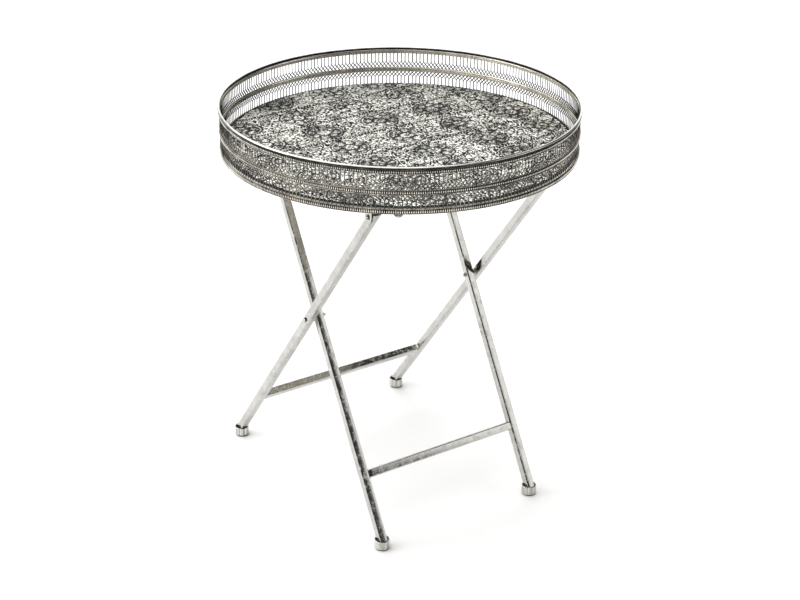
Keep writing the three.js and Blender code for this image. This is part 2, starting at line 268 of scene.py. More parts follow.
def antiqued_material(name, dark, middle, light, top, warmth, yellow):
    """Plate rubbed bright where its level, from 0 to 1, is high and left dark in the recesses. On the
    bead, the rail, the tray feet and the fasteners the level is a painted highlight and painted shade
    instead.
    """
    shader = Shader(name, grey(middle, warmth, yellow), 1.0, 0.35)
    relief = shader.attribute("relief").outputs["Fac"]
    grime = shader.noise(480, 4, 0.65)
    wear = shader.noise(38, 4, 0.6)
    uneven = shader.math("ADD", relief, shader.rescale(grime, 0.3, 0.7, -0.12, 0.12))
    level = shader.math("ADD", uneven, shader.rescale(wear, 0.35, 0.65, -0.1, 0.1))
    low = dark + (middle - dark) * 0.15
    tones = [(0.0, dark), (0.33, low), (0.52, middle), (0.7, light), (1.0, top)]
    colour = shader.ramp(level, [(at, grey(tone, warmth, yellow)) for at, tone in tones])
    shine = shader.rescale(level, 0.1, 0.95, 0.62, 0.2)
    pits = shader.bump(grime, 0.00008, 0.7)
    return shader.finish(colour, shine, pits)


def plain_steel_material():
    """Unpolished plated sheet out of sight: rolled, dull, lightly stained."""
    shader = Shader("plain_steel", grey(0.47, 0.05, 0.09), 1.0, 0.45)
    stains = shader.noise(16, 5, 0.65)
    specks = shader.noise(600, 3, 0.6)
    stained = shader.rescale(stains, 0.35, 0.68)
    tone = shader.mix(stained, grey(0.56, 0.05, 0.09), grey(0.34, 0.06, 0.1))
    speckles = shader.rescale(specks, 0.56, 0.7, 0.0, 0.5)
    speckled = shader.mix(speckles, tone, grey(0.14, 0.05, 0.06))
    shine = shader.rescale(stains, 0.3, 0.7, 0.36, 0.6)
    return shader.finish(speckled, shine, shader.bump(specks, 0.00008, 0.6))


def black_plastic_material():
    """Moulded plastic of the plugs and glides: fine spark texture, scuffed."""
    shader = Shader("black_plastic", grey(0.03), 0.0, 0.55)
    texture = shader.noise(2200, 2, 0.5)
    scuffs = shader.noise(130, 4, 0.65)
    tone = shader.mix(shader.rescale(scuffs, 0.5, 0.75), grey(0.022), grey(0.075, 0.03))
    shine = shader.rescale(scuffs, 0.4, 0.7, 0.48, 0.72)
    return shader.finish(tone, shine, shader.bump(texture, 0.00006, 0.8))


def floor_material():
    """Matt white paper, very faintly uneven."""
    shader = Shader("studio_floor", grey(0.95), 0.0, 0.7)
    tone = shader.mix(shader.noise(1.2, 2), grey(0.94), grey(0.96))
    return shader.finish(tone)


tube_nickel = polished_tube_material()
polished_nickel = polished_nickel_material()
turned_nickel = turned_nickel_material()
antique_nickel = antiqued_material(
    "antique_nickel", dark=0.008, middle=0.1, light=0.5, top=0.88, warmth=0.065, yellow=0.06)
embossed_nickel = antiqued_material(
    "embossed_nickel", dark=0.01, middle=0.31, light=0.96, top=1.0, warmth=0.01, yellow=0.07)
rim_nickel = antiqued_material(
    "rim_nickel", dark=0.015, middle=0.12, light=0.5, top=0.64, warmth=0.02, yellow=0.035)
plain_steel = plain_steel_material()
black_plastic = black_plastic_material()


# =====================================================================================================
# Mesh helpers
# =====================================================================================================
def piece(name, vertices, faces, material, slot, body, stands_for=(), sharp_degrees=40, **attributes):
    """A mesh from vertices in millimetres and faces of equal or mixed size, riding on a CAD body."""
    places = (np.asarray(vertices, float) * MM).tolist()
    corners = [list(map(int, face)) for face in faces]
    mesh = bpy.data.meshes.new(name)
    mesh.from_pydata(places, [], corners)
    for key, values in attributes.items():
        values = np.asarray(values, np.float32)
        kind, field = ("FLOAT", "value") if values.ndim == 1 else ("FLOAT_VECTOR", "vector")
        mesh.attributes.new(key, kind, "POINT").data.foreach_set(field, values.ravel())
    mesh.materials.append(material)
    mesh.shade_smooth()
    mesh.set_sharp_from_angle(angle=math.radians(sharp_degrees))
    made = bpy.data.objects.new(name, mesh)
    bpy.context.scene.collection.objects.link(made)
    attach(made, body)
    if stands_for:
        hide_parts(*stands_for)


def grid_quads(rows, columns, close_rows=False):
    """Quads over a grid of vertices whose columns close on themselves."""
    steps = rows if close_rows else rows - 1
    row, column = np.meshgrid(np.arange(steps), np.arange(columns), indexing="ij")
    beside = (column + 1) % columns
    here = row * columns
    above = (row + 1) % rows * columns
    corners = [here + column, here + beside, above + beside, above + column]
    return np.stack(corners, -1).reshape(-1, 4)


def on_circle(radius, angle, height):
    return np.stack([radius * np.cos(angle), radius * np.sin(angle), height], -1)


def turned(profile, segments, radius_at=None):
    """A profile of (radius, height), from axis to axis, turned about Z into vertices and faces."""
    inner = profile[1:-1]
    angle = 2 * math.pi * np.arange(segments) / segments
    rows = []
    for radius, height in inner:
        shaped = radius if radius_at is None else radius_at(radius, angle)
        rows.append(on_circle(shaped * np.ones(segments), angle, np.full(segments, height)))
    vertices = np.concatenate(rows + [[[0, 0, profile[0][1]]], [[0, 0, profile[-1][1]]]])
    faces = grid_quads(len(inner), segments).tolist()
    first, last, top = len(vertices) - 2, len(vertices) - 1, (len(inner) - 1) * segments
    for i in range(segments):
        j = (i + 1) % segments
        faces.append([first, j, i])
        faces.append([last, top + i, top + j])
    return vertices, faces


def arc(centre, radius, start, end, steps=6):
    """Points on an arc in the (radius, height) plane, in degrees."""
    angles = [math.radians(start + (end - start) * i / steps) for i in range(steps + 1)]
    return [(centre[0] + radius * math.cos(a), centre[1] + radius * math.sin(a)) for a in angles]


def moved(vertices, matrix):
    rotation = np.array(matrix.to_3x3())
    return np.asarray(vertices) @ rotation.T + np.array(matrix.translation)


def facing(place, direction):
    """A matrix that takes local +Z to a direction and the origin to a place."""
    return Matrix.Translation(place) @ Vector(direction).to_track_quat("Z", "Y").to_matrix().to_4x4()


# =====================================================================================================
# Tray rim: bead, bands and pierced gallery
# =====================================================================================================
def rim_bead():
    """The round bead on the very top of the side, with a painted highlight on its upper half and
    painted shade on its lower half.
    """
    low, high = box_mm("rim_bead")
    tube = (high.z - low.z) / 2
    centre_radius = high.x - tube
    segments, sides = 360, 24
    angle, around = np.meshgrid(
        2 * math.pi * np.arange(segments) / segments, 2 * math.pi * np.arange(sides) / sides)
    height = (low.z + high.z) / 2 + tube * np.sin(around)
    vertices = on_circle(centre_radius + tube * np.cos(around), angle, height).reshape(-1, 3)
    faces = grid_quads(sides, segments, close_rows=True)
    # painted highlight: the upper half of the bead is made bright and the lower half dark, as if lit
    # from above
    relief = np.clip(0.05 + np.sin(around + 0.35), 0, 1).ravel()
    piece("round_rim_bead", vertices, faces, rim_nickel, "bright_nickel", "tray", ["rim_bead"],
          relief=relief)


def ribbed_band(node, scallop=0.0):
    """A moulding of upright ribs between two plain beads, ribbed more lightly on its inner face."""
    low, high = box_mm(node)
    bottom, top = low.z, high.z
    middle = (bottom + top) / 2
    reach = (top - bottom) / 2 - BAND_EDGE
    wall = high.x - RIB_DEPTH
    inner = BAND_INNER_RADIUS
    ribs = BARS * RIBS_PER_BAR
    segments = ribs * SAMPLES_PER_RIB
    angle = 2 * math.pi * np.arange(segments) / segments
    rib = np.abs(np.cos(ribs * angle / 2)) ** RIB_FALL
    edge = bottom + scallop * (1 - rib)

    # Rows of (radius, height, relief), up the outside and down the inside.
    rows = [
        (wall - 0.3, edge, 0.1),
        (wall + 0.5, edge, 0.5),
        (wall + 0.9, edge + 0.35, 0.75),
        (wall + 0.6, edge + 0.75, 0.45),
        (wall, bottom + BAND_EDGE, 0.0),
    ]
    for share in (-0.8, -0.4, 0.0, 0.4, 0.8):
        swell = math.sqrt(1 - share * share)
        rows.append((wall + RIB_DEPTH * swell * rib, middle + share * reach, 1.05 * swell * rib))
    rows += [
        (wall, top - BAND_EDGE, 0.0),
        (wall + 0.6, top - 0.75, 0.45),
        (wall + 0.9, top - 0.35, 0.8),
        (wall + 0.4, top, 0.5),
        (inner + 0.6, top, 0.8),
        (inner + 0.1, top - 0.5, 1.0),
    ]
    for share in (0.7, 0.0, -0.7):
        swell = math.sqrt(1 - share * share)
        bulge = 0.6 * swell * (0.6 + 0.4 * rib)
        rows.append((inner + 0.7 - bulge, middle + share * reach, 0.7 + 0.3 * swell * rib))
    rows.append((inner + 0.1, bottom + 0.5, 0.8))

    filled = np.array([[value * np.ones(segments) for value in row] for row in rows])
    radius, height, relief = filled[:, 0], filled[:, 1], filled[:, 2]
    vertices = on_circle(radius, angle + np.zeros_like(radius), height).reshape(-1, 3)
    faces = grid_quads(len(rows), segments, close_rows=True)
    piece(f"ribbed_{node}", vertices, faces, antique_nickel, "antique_nickel", "tray", [node], 80,
          relief=relief.ravel())


# Cross-section of a bar: (across, depth, relief), outer face first.
BAR_SECTION = [(-0.5, 0.0, 0.0), (-0.3, 0.42, 0.3), (0.0, 0.5, 0.7), (0.3, 0.42, 0.3),
               (0.5, 0.0, 0.0), (0.3, -0.42, 0.3), (0.0, -0.5, 0.6), (-0.3, -0.42, 0.3)]


def strips(path, width, depth, middle_radius, outwards):
    """One strip along a path of (sideways, height), repeated at every bar of the ring."""
    path = np.asarray(path, float)
    ahead = np.gradient(path, axis=0)
    ahead /= np.linalg.norm(ahead, axis=1)[:, None]
    section = np.asarray(BAR_SECTION)
    sides = len(section)
    sideways = path[:, None, 0] + section[None, :, 0] * width * ahead[:, None, 1]
    height = path[:, None, 1] - section[None, :, 0] * width * ahead[:, None, 0]
    radius = middle_radius + outwards + section[None, :, 1] * depth + np.zeros_like(height)
    relief = section[None, :, 2] + np.zeros_like(height)
    turns = 2 * math.pi * np.arange(BARS) / BARS
    angle = turns[:, None, None] + sideways[None] / middle_radius
    copies = np.ones((BARS, 1, 1))
    vertices = on_circle(radius[None] * copies, angle, height[None] * copies).reshape(-1, 3)
    one = grid_quads(len(path), sides).tolist()
    last = (len(path) - 1) * sides
    for face in ([0, 1, 2, 3], [0, 3, 4, 7], [4, 5, 6, 7]):
        one.append(face[::-1])
        one.append([last + corner for corner in face])
    one = np.asarray(one)
    per_copy = len(path) * sides
    faces = (one[None] + (np.arange(BARS) * per_copy)[:, None, None]).reshape(-1, 4)
    return vertices, faces, np.tile(relief.ravel(), BARS)


def gallery(node, bars_up):
    """A pierced tier: upright bars that fork into diagonals, which cross their neighbours'."""
    low, high = box_mm(node)
    middle_radius = (high.x + GALLERY_INNER_RADIUS) / 2
    pitch = 2 * math.pi * middle_radius / BARS
    bottom, top = low.z - STRIP_END, high.z + STRIP_END
    start, end = (top, bottom) if bars_up else (bottom, top)
    way = 1 if end > start else -1
    run = STRIP_END + (high.z - low.z) * LATTICE_SHARE
    fork = end - way * run
    reach = LATTICE_REACH * pitch

    def diagonal(side):
        points = []
        for share in (0.0, 0.12, 0.26, 0.6, 1.0):
            bend = share + 0.1 * math.sin(math.pi * share) * (share - 1)
            points.append((side * reach * bend, fork + way * run * share))
        return points

    bar = [(0, start), (0, (start + fork) / 2)] + diagonal(-1)
    vertices, faces, relief = strips(bar, BAR_WIDTH, BAR_DEPTH, middle_radius, 0.0)
    second = strips(diagonal(1), LATTICE_WIDTH, LATTICE_DEPTH, middle_radius, LATTICE_OUTWARDS)
    faces = np.concatenate([faces, second[1] + len(vertices)])
    vertices = np.concatenate([vertices, second[0]])
    relief = np.concatenate([relief, second[2]])
    piece(f"pierced_{node}", vertices, faces, antique_nickel, "antique_nickel", "tray", [node], 60,
          relief=relief)


# =====================================================================================================
# Embossed floor
# =====================================================================================================
def smooth_noise(x, y, cell, seed):
    """Value noise from -1 to 1 with features of about one cell."""
    table = np.random.RandomState(seed).uniform(-1, 1, (256, 256))
    u, v = x / cell + 128, y / cell + 128
    i, j = np.floor(u).astype(int), np.floor(v).astype(int)
    fu, fv = u - i, v - j
    fu, fv = fu * fu * (3 - 2 * fu), fv * fv * (3 - 2 * fv)
    near = table[i % 256, j % 256] * (1 - fu) + table[(i + 1) % 256, j % 256] * fu
    far = table[i % 256, (j + 1) % 256] * (1 - fu) + table[(i + 1) % 256, (j + 1) % 256] * fu
    return near * (1 - fv) + far * fv


def ridge(distance, width):
    """1 on a line, falling smoothly to 0 at a width from it."""
    return np.clip(1 - (distance / width) ** 2, 0, 1)


def petals(x, y, count, inner, outer):
    """Rounded petals round a centre, each with a dark cut between it and the next."""
    radius, angle = np.hypot(x, y), np.arctan2(y, x)
    along = np.clip((radius - inner) / (outer - inner), 0, 1)
    body = np.sin(math.pi * along) ** 0.6 * np.abs(np.cos(count * angle / 2)) ** 0.7
    return np.where((radius > inner) & (radius < outer), body, 0)


def scroll(x, y, size, hand, spin):
    """A spiral tendril."""
    radius, angle = np.hypot(x, y), np.arctan2(y, x) * hand + spin
    pitch = size / 2.4
    wave = 0.5 + 0.5 * np.cos(2 * math.pi * (radius / pitch - angle / (2 * math.pi)))
    return wave**0.8 * np.clip((size - radius) / (0.25 * size), 0, 1)


def curls(x, y, cell, width, seed):
    """Thin curling strokes: the zero lines of a smooth noise, about a cell apart."""
    field = smooth_noise(x, y, cell, seed) + 0.45 * smooth_noise(x, y, cell * 0.47, seed + 1)
    slope_x, slope_y = np.gradient(field, RELIEF_STEP)
    distance = np.abs(field) / np.maximum(np.hypot(slope_x, slope_y), 0.05)
    return ridge(distance, width)


def leaf_ground(x, y, drift):
    """Curling leaves and stippling that cover the whole sheet."""
    leaves = curls(x + drift, y, 4.1, 1.0, seed=21)
    stipple = np.clip(smooth_noise(x, y, 1.9, seed=23) * 2.6 - 0.3, 0, 1)
    return np.maximum(leaves, 0.85 * stipple)


def with_medallion(height, u, v):
    """Ring medallion: a rope and a dark groove round scrolls and a small flower."""
    radius, angle = np.hypot(u, v), np.arctan2(v, u)
    scrolls = np.maximum(petals(u, v, 8, 2.2, 9.5), ridge(radius, 2.0))
    count, circle, size = 8, 17.5, 6.0
    for turn in range(count):
        spin = 2 * math.pi * (turn + 0.5) / count
        hand = 1 if turn % 2 else -1
        curl = scroll(u - circle * math.cos(spin), v - circle * math.sin(spin), size, hand, spin * 2)
        scrolls = np.maximum(scrolls, curl)
    inside = np.clip((MEDALLION_RADIUS - radius) / 2, 0, 1)
    height = height * (1 - 0.5 * inside) + 0.6 * scrolls * inside
    rope = 0.5 + 0.5 * np.cos(50 * angle)
    height = np.maximum(height, 0.9 * rope * ridge(radius - (MEDALLION_RADIUS - 0.9), 1.3))
    return height * (1 - 0.8 * ridge(radius - (MEDALLION_RADIUS + 1.8), 1.2))


def with_rosette(height, u, v):
    """Rosette between two medallions, with a scroll on each side of it."""
    w = np.abs(v) - PANEL_LENGTH / 2
    from_rosette = np.hypot(u, w)
    near = np.clip((ROSETTE_RADIUS - from_rosette) / 2, 0, 1)
    flower = np.maximum(petals(u, w, 8, 3.4, 12), ridge(from_rosette, 2.2))
    height = height * (1 - 0.7 * near) + 0.85 * flower * near
    sideways, size = 21, 8.0
    for side in (-1, 1):
        along, across = u - side * sideways, w + 1
        near = np.clip((size - np.hypot(along, across)) / 2, 0, 1)
        height = height * (1 - 0.5 * near) + 0.6 * scroll(along, across, size, side, 0.4) * near
    return height


def with_beaded_line(height, u, v):
    """A line of beads between the columns, in a dark channel."""
    pitch = 4.8
    from_line = PANEL_WIDTH / 2 - np.abs(u)
    from_bead = np.abs((v + pitch / 2) % pitch - pitch / 2)
    height = height * np.clip((from_line - 1.5) / 1.5, 0.05, 1)
    return np.maximum(height, 0.95 * ridge(np.hypot(from_line, from_bead), 1.7))


def relief_height(x, y):
    """Height from 0 to 1: medallions and rosettes in columns between beaded lines, over leaves."""
    drift_x = 1.6 * smooth_noise(x, y, 22, seed=11)
    drift_y = 1.6 * smooth_noise(x, y, 22, seed=12)
    column = np.floor((x - PANEL_SHIFT[0]) / PANEL_WIDTH + 0.5)
    row = np.floor((y - PANEL_SHIFT[1]) / PANEL_LENGTH + 0.5)
    u = x - PANEL_SHIFT[0] - column * PANEL_WIDTH + drift_x
    v = y - PANEL_SHIFT[1] - row * PANEL_LENGTH + drift_y
    height = leaf_ground(x, y, drift_y)
    height = with_medallion(height, u, v)
    height = with_rosette(height, u, v)
    return with_beaded_line(height, u, v)


def embossed_floor():
    """The embossed sheet: relief on a square mesh cut round, with a wall and a flat underside."""
    low, high = box_mm("embossed_floor")
    count = int(FLOOR_RADIUS / RELIEF_STEP) + 2
    lines = np.arange(-count, count + 1) * RELIEF_STEP
    x, y = np.meshgrid(lines, lines, indexing="ij")
    distance = np.hypot(x, y)
    keep = distance < FLOOR_RADIUS + 0.45 * RELIEF_STEP
    at_edge = distance > FLOOR_RADIUS - 0.5 * RELIEF_STEP
    pull = np.where(at_edge, FLOOR_RADIUS / np.maximum(distance, 1), 1)
    x, y = x * pull, y * pull
    distance = np.hypot(x, y)

    level = relief_height(x, y)
    worn = 0.9 + 0.09 * smooth_noise(x, y, 45, seed=31) + 0.09 * smooth_noise(x, y, 14, seed=34)
    level = level * worn + 0.06 * smooth_noise(x, y, 2.2, seed=32)
    border = np.clip((FLOOR_RADIUS - FLOOR_BORDER - distance) / 1.5, 0, 1)
    level = np.clip(level, 0, 1) * border
    z = high.z - RELIEF_DEPTH / 2 + RELIEF_DEPTH * level

    index = np.full(keep.shape, -1)
    index[keep] = np.arange(keep.sum())
    top = np.stack([x[keep], y[keep], z[keep]], -1)
    corners = [index[:-1, :-1], index[1:, :-1], index[1:, 1:], index[:-1, 1:]]
    quads = np.stack(corners, -1).reshape(-1, 4)
    quads = quads[(quads >= 0).all(1)]

    # close the sheet: a wall down from its edge and a flat underside
    edges = np.concatenate([quads[:, [i, (i + 1) % 4]] for i in range(4)])
    edge_set = set(map(tuple, edges.tolist()))
    rim = [(a, b) for a, b in edge_set if (b, a) not in edge_set]
    rim.sort()
    used = sorted({a for edge in rim for a in edge})
    below = {a: len(top) + i for i, a in enumerate(used)}
    centre = len(top) + len(used)
    under = [[top[a, 0], top[a, 1], low.z] for a in used] + [[0, 0, low.z]]
    walls = [[b, a, below[a], below[b]] for a, b in rim]
    fan = [[below[b], below[a], centre] for a, b in rim]
    vertices = np.concatenate([top, under])
    faces = quads.tolist() + walls + fan
    relief = np.concatenate([level[keep], np.full(len(under), 0.3)])
    piece("embossed_sheet", vertices, faces, embossed_nickel, "embossed_nickel", "tray",
          ["embossed_floor"], 80, relief=relief)


def tray_foot(index):
    """A small domed foot with a stepped collar."""
    node = f"tray_foot_{index}"
    low, high = box_mm(node)
    radius = (high.x - low.x) / 2
    tall = high.z - low.z
    collar = tall * 0.55
    collar_round = 0.7
    neck = radius * 0.86
    turns = np.linspace(0.12, math.pi / 2, 12)
    dome = [(radius * 0.9 * math.sin(a), radius * 0.75 * (1 - math.cos(a))) for a in turns]
    rounded = arc((radius - collar_round, collar), collar_round, -90, 90, 6)
    profile = [(0, 0), *dome, *rounded, (neck, collar + 1.0), (neck, tall), (0, tall)]
    vertices, faces = turned(profile, 48)
    # painted shade: the foot is darker towards its collar under the tray's edge and lighter at its tip
    relief = np.clip(0.75 - 0.7 * vertices[:, 2] / tall, 0, 1)
    place = np.array([(low.x + high.x) / 2, (low.y + high.y) / 2, low.z])
    piece(f"domed_{node}", vertices + place, faces, rim_nickel, "polished_nickel", "tray", [node],
          relief=relief)


# =====================================================================================================
# Stand
# =====================================================================================================
def rounded_square(side, corner):
    """Outline of a tube: four corners, each a quarter of a circle."""
    points = []
    flat = side / 2 - corner
    for quarter, (sx, sy) in enumerate(((1, 1), (-1, 1), (-1, -1), (1, -1))):
        points += arc((sx * flat, sy * flat), corner, 90 * quarter, 90 * quarter + 90)
    return np.array(points)


def tube_piece(name, body, node, start, end, side, across, foot_height=None):
    """Square tube. One with a foot height is a leg: cut level there, and open at its top."""
    is_leg = foot_height is not None
    ahead = (end - start).normalized()
    third = across.cross(ahead)
    outline = rounded_square(side, TUBE_CORNER)
    length = (end - start).length
    narrow = 1 - TUBE_END_EDGE / side
    stations = [(0, narrow), (TUBE_END_EDGE, 1)]
    stations += [(at, 1) for at in np.linspace(6, length - 6, TUBE_STATIONS)]
    stations += [(length - TUBE_END_EDGE, 1), (length, narrow)]
    if is_leg:
        bore = 1 - 2 * TUBE_WALL / side
        stations += [(length, bore), (length - BORE_DEPTH, bore)]
    vertices, grain = [], []
    for station, scale in stations:
        for a, b in outline * scale:
            point = start + ahead * station + third * a + across * b
            if is_leg and station < 1:
                point += ahead * ((foot_height - point.z) / ahead.z)
            vertices.append(point)
            grain.append((a * MM, b * MM, station * MM * GRAIN_STRETCH))
    columns, rows = len(outline), len(stations)
    faces = grid_quads(rows, columns).tolist()
    faces += [list(range(columns))[::-1], [(rows - 1) * columns + i for i in range(columns)]]
    piece(name, vertices, faces, tube_nickel, "polished_nickel", body, [node], 30, grain=grain)


def leg_axis(which):
    """Up a frame's legs, from the crossing to the rail rivet."""
    return (rail_rivets[which] - crossing).normalized()


def legs(which):
    """A frame's two legs, from the foot cups to a little past the rail rivets."""
    ahead = leg_axis(which)
    for side in SIDES:
        node = f"{which}_leg_{side}"
        low, high = box_mm(node)
        along_y = Vector((0, (low.y + high.y) / 2, 0))
        foot = crossing + ahead * ((low.z - crossing.z) / ahead.z) + along_y
        top = rail_rivets[which] + ahead * LEG_PAST_RIVET + along_y
        tube_piece(f"{which}_tube_{side}", f"{which}_frame", node, foot, top, high.y - low.y,
                   Vector((0, 1, 0)), low.z)


def stretcher(which):
    """The tube between a frame's two legs, with a weld above and below each end."""
    node = f"{which}_stretcher"
    body = f"{which}_frame"
    low, high = box_mm(node)
    leg_low, leg_high = box_mm(f"{which}_leg_front")
    side = leg_high.y - leg_low.y
    middle = (low + high) / 2
    reach = (high.y - low.y) / 2
    ahead = leg_axis(which)
    along_y = Vector((0, 1, 0))
    half = along_y * (reach + STRETCHER_INTO_LEG)
    tube_piece(f"{which}_cross_tube", body, node, middle - half, middle + half, side, ahead)

    half_width = along_y.cross(ahead) * (side / 2 - WELD_INSET)
    ends = [(end_sign, edge_sign) for end_sign in (-1, 1) for edge_sign in (-1, 1)]
    for number, (end_sign, edge_sign) in enumerate(ends, 1):
        up_leg = ahead * edge_sign
        along_tube = along_y * -end_sign
        seam = middle + up_leg * (side / 2) - along_tube * (reach + WELD_SUNK)
        weld(f"{which}_weld_{number}", body, seam, up_leg, along_tube, half_width, WELD_SEED + number)


def weld(name, body, seam, up_leg, along_tube, half_width, seed):
    """A ground fillet of weld along a seam, in the corner between a leg and the stretcher."""
    wobble = np.random.RandomState(seed).uniform(0.75, 1.0, WELD_STATIONS + 1)
    vertices = []
    for i in range(WELD_STATIONS + 1):
        share = 2 * i / WELD_STATIONS - 1
        bulk = WELD_SIZE * wobble[i] * (1 - abs(share) ** 6 * 0.7)
        hollow = 0.33 * bulk
        middle = seam + half_width * share
        corners = [(-WELD_SUNK, -WELD_SUNK), (-WELD_SUNK, bulk), (hollow, hollow), (bulk, -WELD_SUNK)]
        for up, along in corners:
            vertices.append(middle + up_leg * up + along_tube * along)
    faces = grid_quads(WELD_STATIONS + 1, 4).tolist()
    faces += [[3, 2, 1, 0], [WELD_STATIONS * 4 + i for i in range(4)]]
    if up_leg.cross(along_tube).dot(half_width) > 0:
        faces = [face[::-1] for face in faces]
    piece(name, vertices, faces, polished_nickel, "polished_nickel", body, (), 50)


def foot_cup(which, side):
    """A turned cup with a rounded foot and lip, and a shallow recess that the leg stands in."""
    node = f"{which}_foot_cup_{side}"
    low, high = box_mm(node)
    radius = (high.x - low.x) / 2
    tall = high.z - low.z
    foot_round, lip_round, inner_round = 0.9, 0.5, 0.3
    inner = radius - CUP_LIP
    recess = tall - CUP_RECESS
    profile = [(0, 0)] + arc((radius - foot_round, foot_round), foot_round, -90, 0, 5)
    profile += [(radius, tall * 0.5)]
    profile += arc((radius - lip_round, tall - lip_round), lip_round, 0, 90, 5)
    profile += arc((inner + inner_round, tall - inner_round), inner_round, 90, 180, 3)
    profile += [(inner, recess + inner_round), (inner - inner_round, recess), (0, recess)]
    vertices, faces = turned(profile, 64)
    distance = np.hypot(vertices[:, 0], vertices[:, 1])
    # painted shade: dark inside the lip's recess and along the bottom, where the cup meets the floor
    on_lip = np.clip((distance - (inner - 0.2)) / 0.4, 0, 1)
    above_foot = np.clip(vertices[:, 2] / 1.2, 0, 1)
    place = np.array([(low.x + high.x) / 2, (low.y + high.y) / 2, low.z])
    # coordinates stretched upright, so that the painted reflection streaks run up the cup
    grain = vertices * MM * np.array([1, 1, 0.05]) + place * MM
    piece(f"{which}_cup_{side}", vertices + place, faces, turned_nickel, "polished_nickel",
          f"{which}_frame", [node], relief=on_lip * above_foot, grain=grain)


# Cross-section of a rail: (across, through), as shares of its half width and half thickness.
RAIL_SECTION = [(-1, -0.7), (-1, 0.7), (-0.96, 1), (0.96, 1),
                (1, 0.7), (1, -0.7), (0.96, -1), (-0.96, -1)]


def rail_line(reach, top, pivot_height, half_width):
    """A bent rail's middle line from one ear's tip to the other's: (y, z, half width)."""
    lowest = pivot_height - half_width
    side_line = []
    for share in np.linspace(0.03, 1.0, 14):
        turn = share * math.pi / 2
        z = lowest + half_width * (1 - math.cos(turn))
        side_line.append((reach, z, half_width * math.sin(turn)))
    side_line.append((reach, (pivot_height + top - RAIL_BEND) / 2, half_width))
    for y, z in arc((reach - RAIL_BEND, top - RAIL_BEND), RAIL_BEND, 0, 90, 6):
        side_line.append((y, z, half_width))
    return side_line + [(-y, z, width) for y, z, width in reversed(side_line)]


def rail(which):
    """Flat bar with both ends bent down into round ears, with painted shade along its edges."""
    node = f"{which}_rail"
    low, high = box_mm(node)
    half_width = (high.x - low.x) / 2
    half_thick = RAIL_THICKNESS / 2
    centre_x = (low.x + high.x) / 2
    line = rail_line(high.y - half_thick, high.z - half_thick, rail_rivets[which].z, half_width)
    ahead = np.gradient(np.array([(y, z) for y, z, _ in line]), axis=0)
    ahead /= np.linalg.norm(ahead, axis=1)[:, None]
    outward = np.stack([ahead[:, 1], -ahead[:, 0]], -1)
    vertices, relief = [], []
    for (y, z, width), (out_y, out_z) in zip(line, outward):
        for across, through in RAIL_SECTION:
            lift = through * half_thick
            vertices.append((centre_x + across * width, y + out_y * lift, z + out_z * lift))
            # painted shade: the edges are dark and the broad faces lighter
            relief.append(0.1 if abs(across) == 1 else 0.72)
    columns, rows = len(RAIL_SECTION), len(line)
    faces = grid_quads(rows, columns)[:, ::-1].tolist()
    faces += [list(range(columns)), [(rows - 1) * columns + i for i in range(columns)][::-1]]
    piece(f"{which}_bent_rail", vertices, faces, rim_nickel, "polished_nickel", f"{which}_rail", [node],
          50, relief=relief)


# How bright a fastener's head is painted, by share of its radius: (share, brightness level). A painted
# highlight on the crown, and painted shade round its edge and, on the rivet, in its ring groove.
PLAIN_HEAD = [(0, 1), (0.45, 0.95), (0.75, 0.3), (0.9, 0.0), (1, 0.0)]
NUT_FACES = [(0, 1), (0.7, 0.95), (0.82, 0.35), (0.9, 0.8), (1, 0.8)]
RINGED_HEAD = [(0, 1), (0.3, 0.9), (0.46, 0.0), (0.64, 0.0), (0.72, 1), (0.84, 0.9), (0.93, 0.0),
               (1, 0.0)]


def button(name, node, body, outwards, profile_of, heads, radius_at=None):
    """A small turned piece that replaces a CAD node lying along Y."""
    low, high = box_mm(node)
    radius = (high.x - low.x) / 2
    long = high.y - low.y
    base = low.y if outwards > 0 else high.y
    vertices, faces = turned(profile_of(radius, long), 48, radius_at)
    place = facing(Vector(((low.x + high.x) / 2, base, (low.z + high.z) / 2)), (0, outwards, 0))
    share = np.hypot(vertices[:, 0], vertices[:, 1]) / radius
    # painted highlight on the crown and painted shade round it, from the head table
    relief = np.interp(share, *np.array(heads).T)
    piece(name, moved(vertices, place), faces, rim_nickel, "bright_nickel", body, [node],
          relief=relief)


def crown(radius, base, rise, steps):
    """Points up a domed head, from its edge nearly to its middle."""
    turns = np.linspace(0, math.pi / 2 - 0.12, steps)
    return [(radius * math.cos(a), base + rise * math.sin(a)) for a in turns]


def bolt_profile(radius, long):
    """A plain shaft under a low domed head."""
    head, shaft = 1.9, 2.2
    seat = long - head
    under = [(0, 0), (shaft, 0), (shaft, seat), (radius - 0.2, seat), (radius, seat + 0.25)]
    return under + crown(radius, seat + 0.5, head - 0.5, 9) + [(0, long)]


def rivet_profile(radius, long):
    """A spread tail, a shaft, and a head with a raised centre inside a ring groove."""
    shaft, head, tail_height = 2.5, 1.8, 1.1
    seat = long - head
    tail = [(0, 0), (radius * 0.5, 0.1), (radius * 0.78, 0.45), (radius * 0.8, tail_height)]
    shank = [(shaft, tail_height), (shaft, seat), (radius - 0.2, seat), (radius, seat + 0.25)]
    collar = arc((radius - 0.6, seat + 0.55), 0.55, 10, 110, 5)
    groove = [(radius * 0.66, seat + 0.35), (radius * 0.6, seat + 0.35)]
    centre = crown(radius * 0.58, seat + 0.5, head - 0.5, 8)
    return tail + shank + collar + groove + centre + [(0, long)]


def nut_profile(radius, long):
    """Seen from the leg outwards: six flats, a shoulder and a dome."""
    body = long * 0.5
    flats = [(0, 0), (radius - 0.3, 0), (radius, 0.3), (radius, long * 0.42), (radius - 0.35, body)]
    return flats + crown(radius * 0.8, body, long - body, 9) + [(0, long)]


